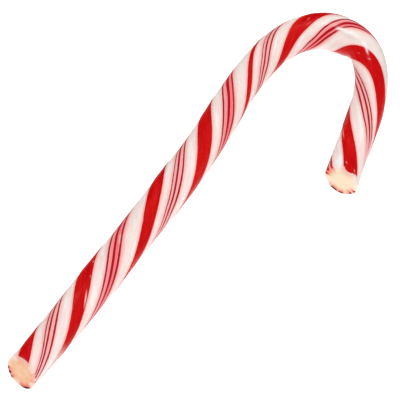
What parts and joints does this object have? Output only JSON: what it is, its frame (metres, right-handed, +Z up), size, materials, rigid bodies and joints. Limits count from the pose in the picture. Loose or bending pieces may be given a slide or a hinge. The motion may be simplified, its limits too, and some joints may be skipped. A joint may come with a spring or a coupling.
{
  "type": "candy cane",
  "caption": "Hooked stick of hard pulled sugar, white with wide red ribbons and groups of thin crimson lines winding round it, lying on its side.",
  "frame": {"origin": "middle of the footprint, on the surface that the cane lies on", "axes": "+Z up, +Y along the shank from the cut foot towards the hook, +X towards the side that the hook turns over to"},
  "size_m": [0.0506, 0.1538, 0.0104],
  "materials": {
    "striped_sugar": null
  },
  "bodies": {
    "root": {"candy_cane": "striped_sugar"}
  },
  "joints": []
}
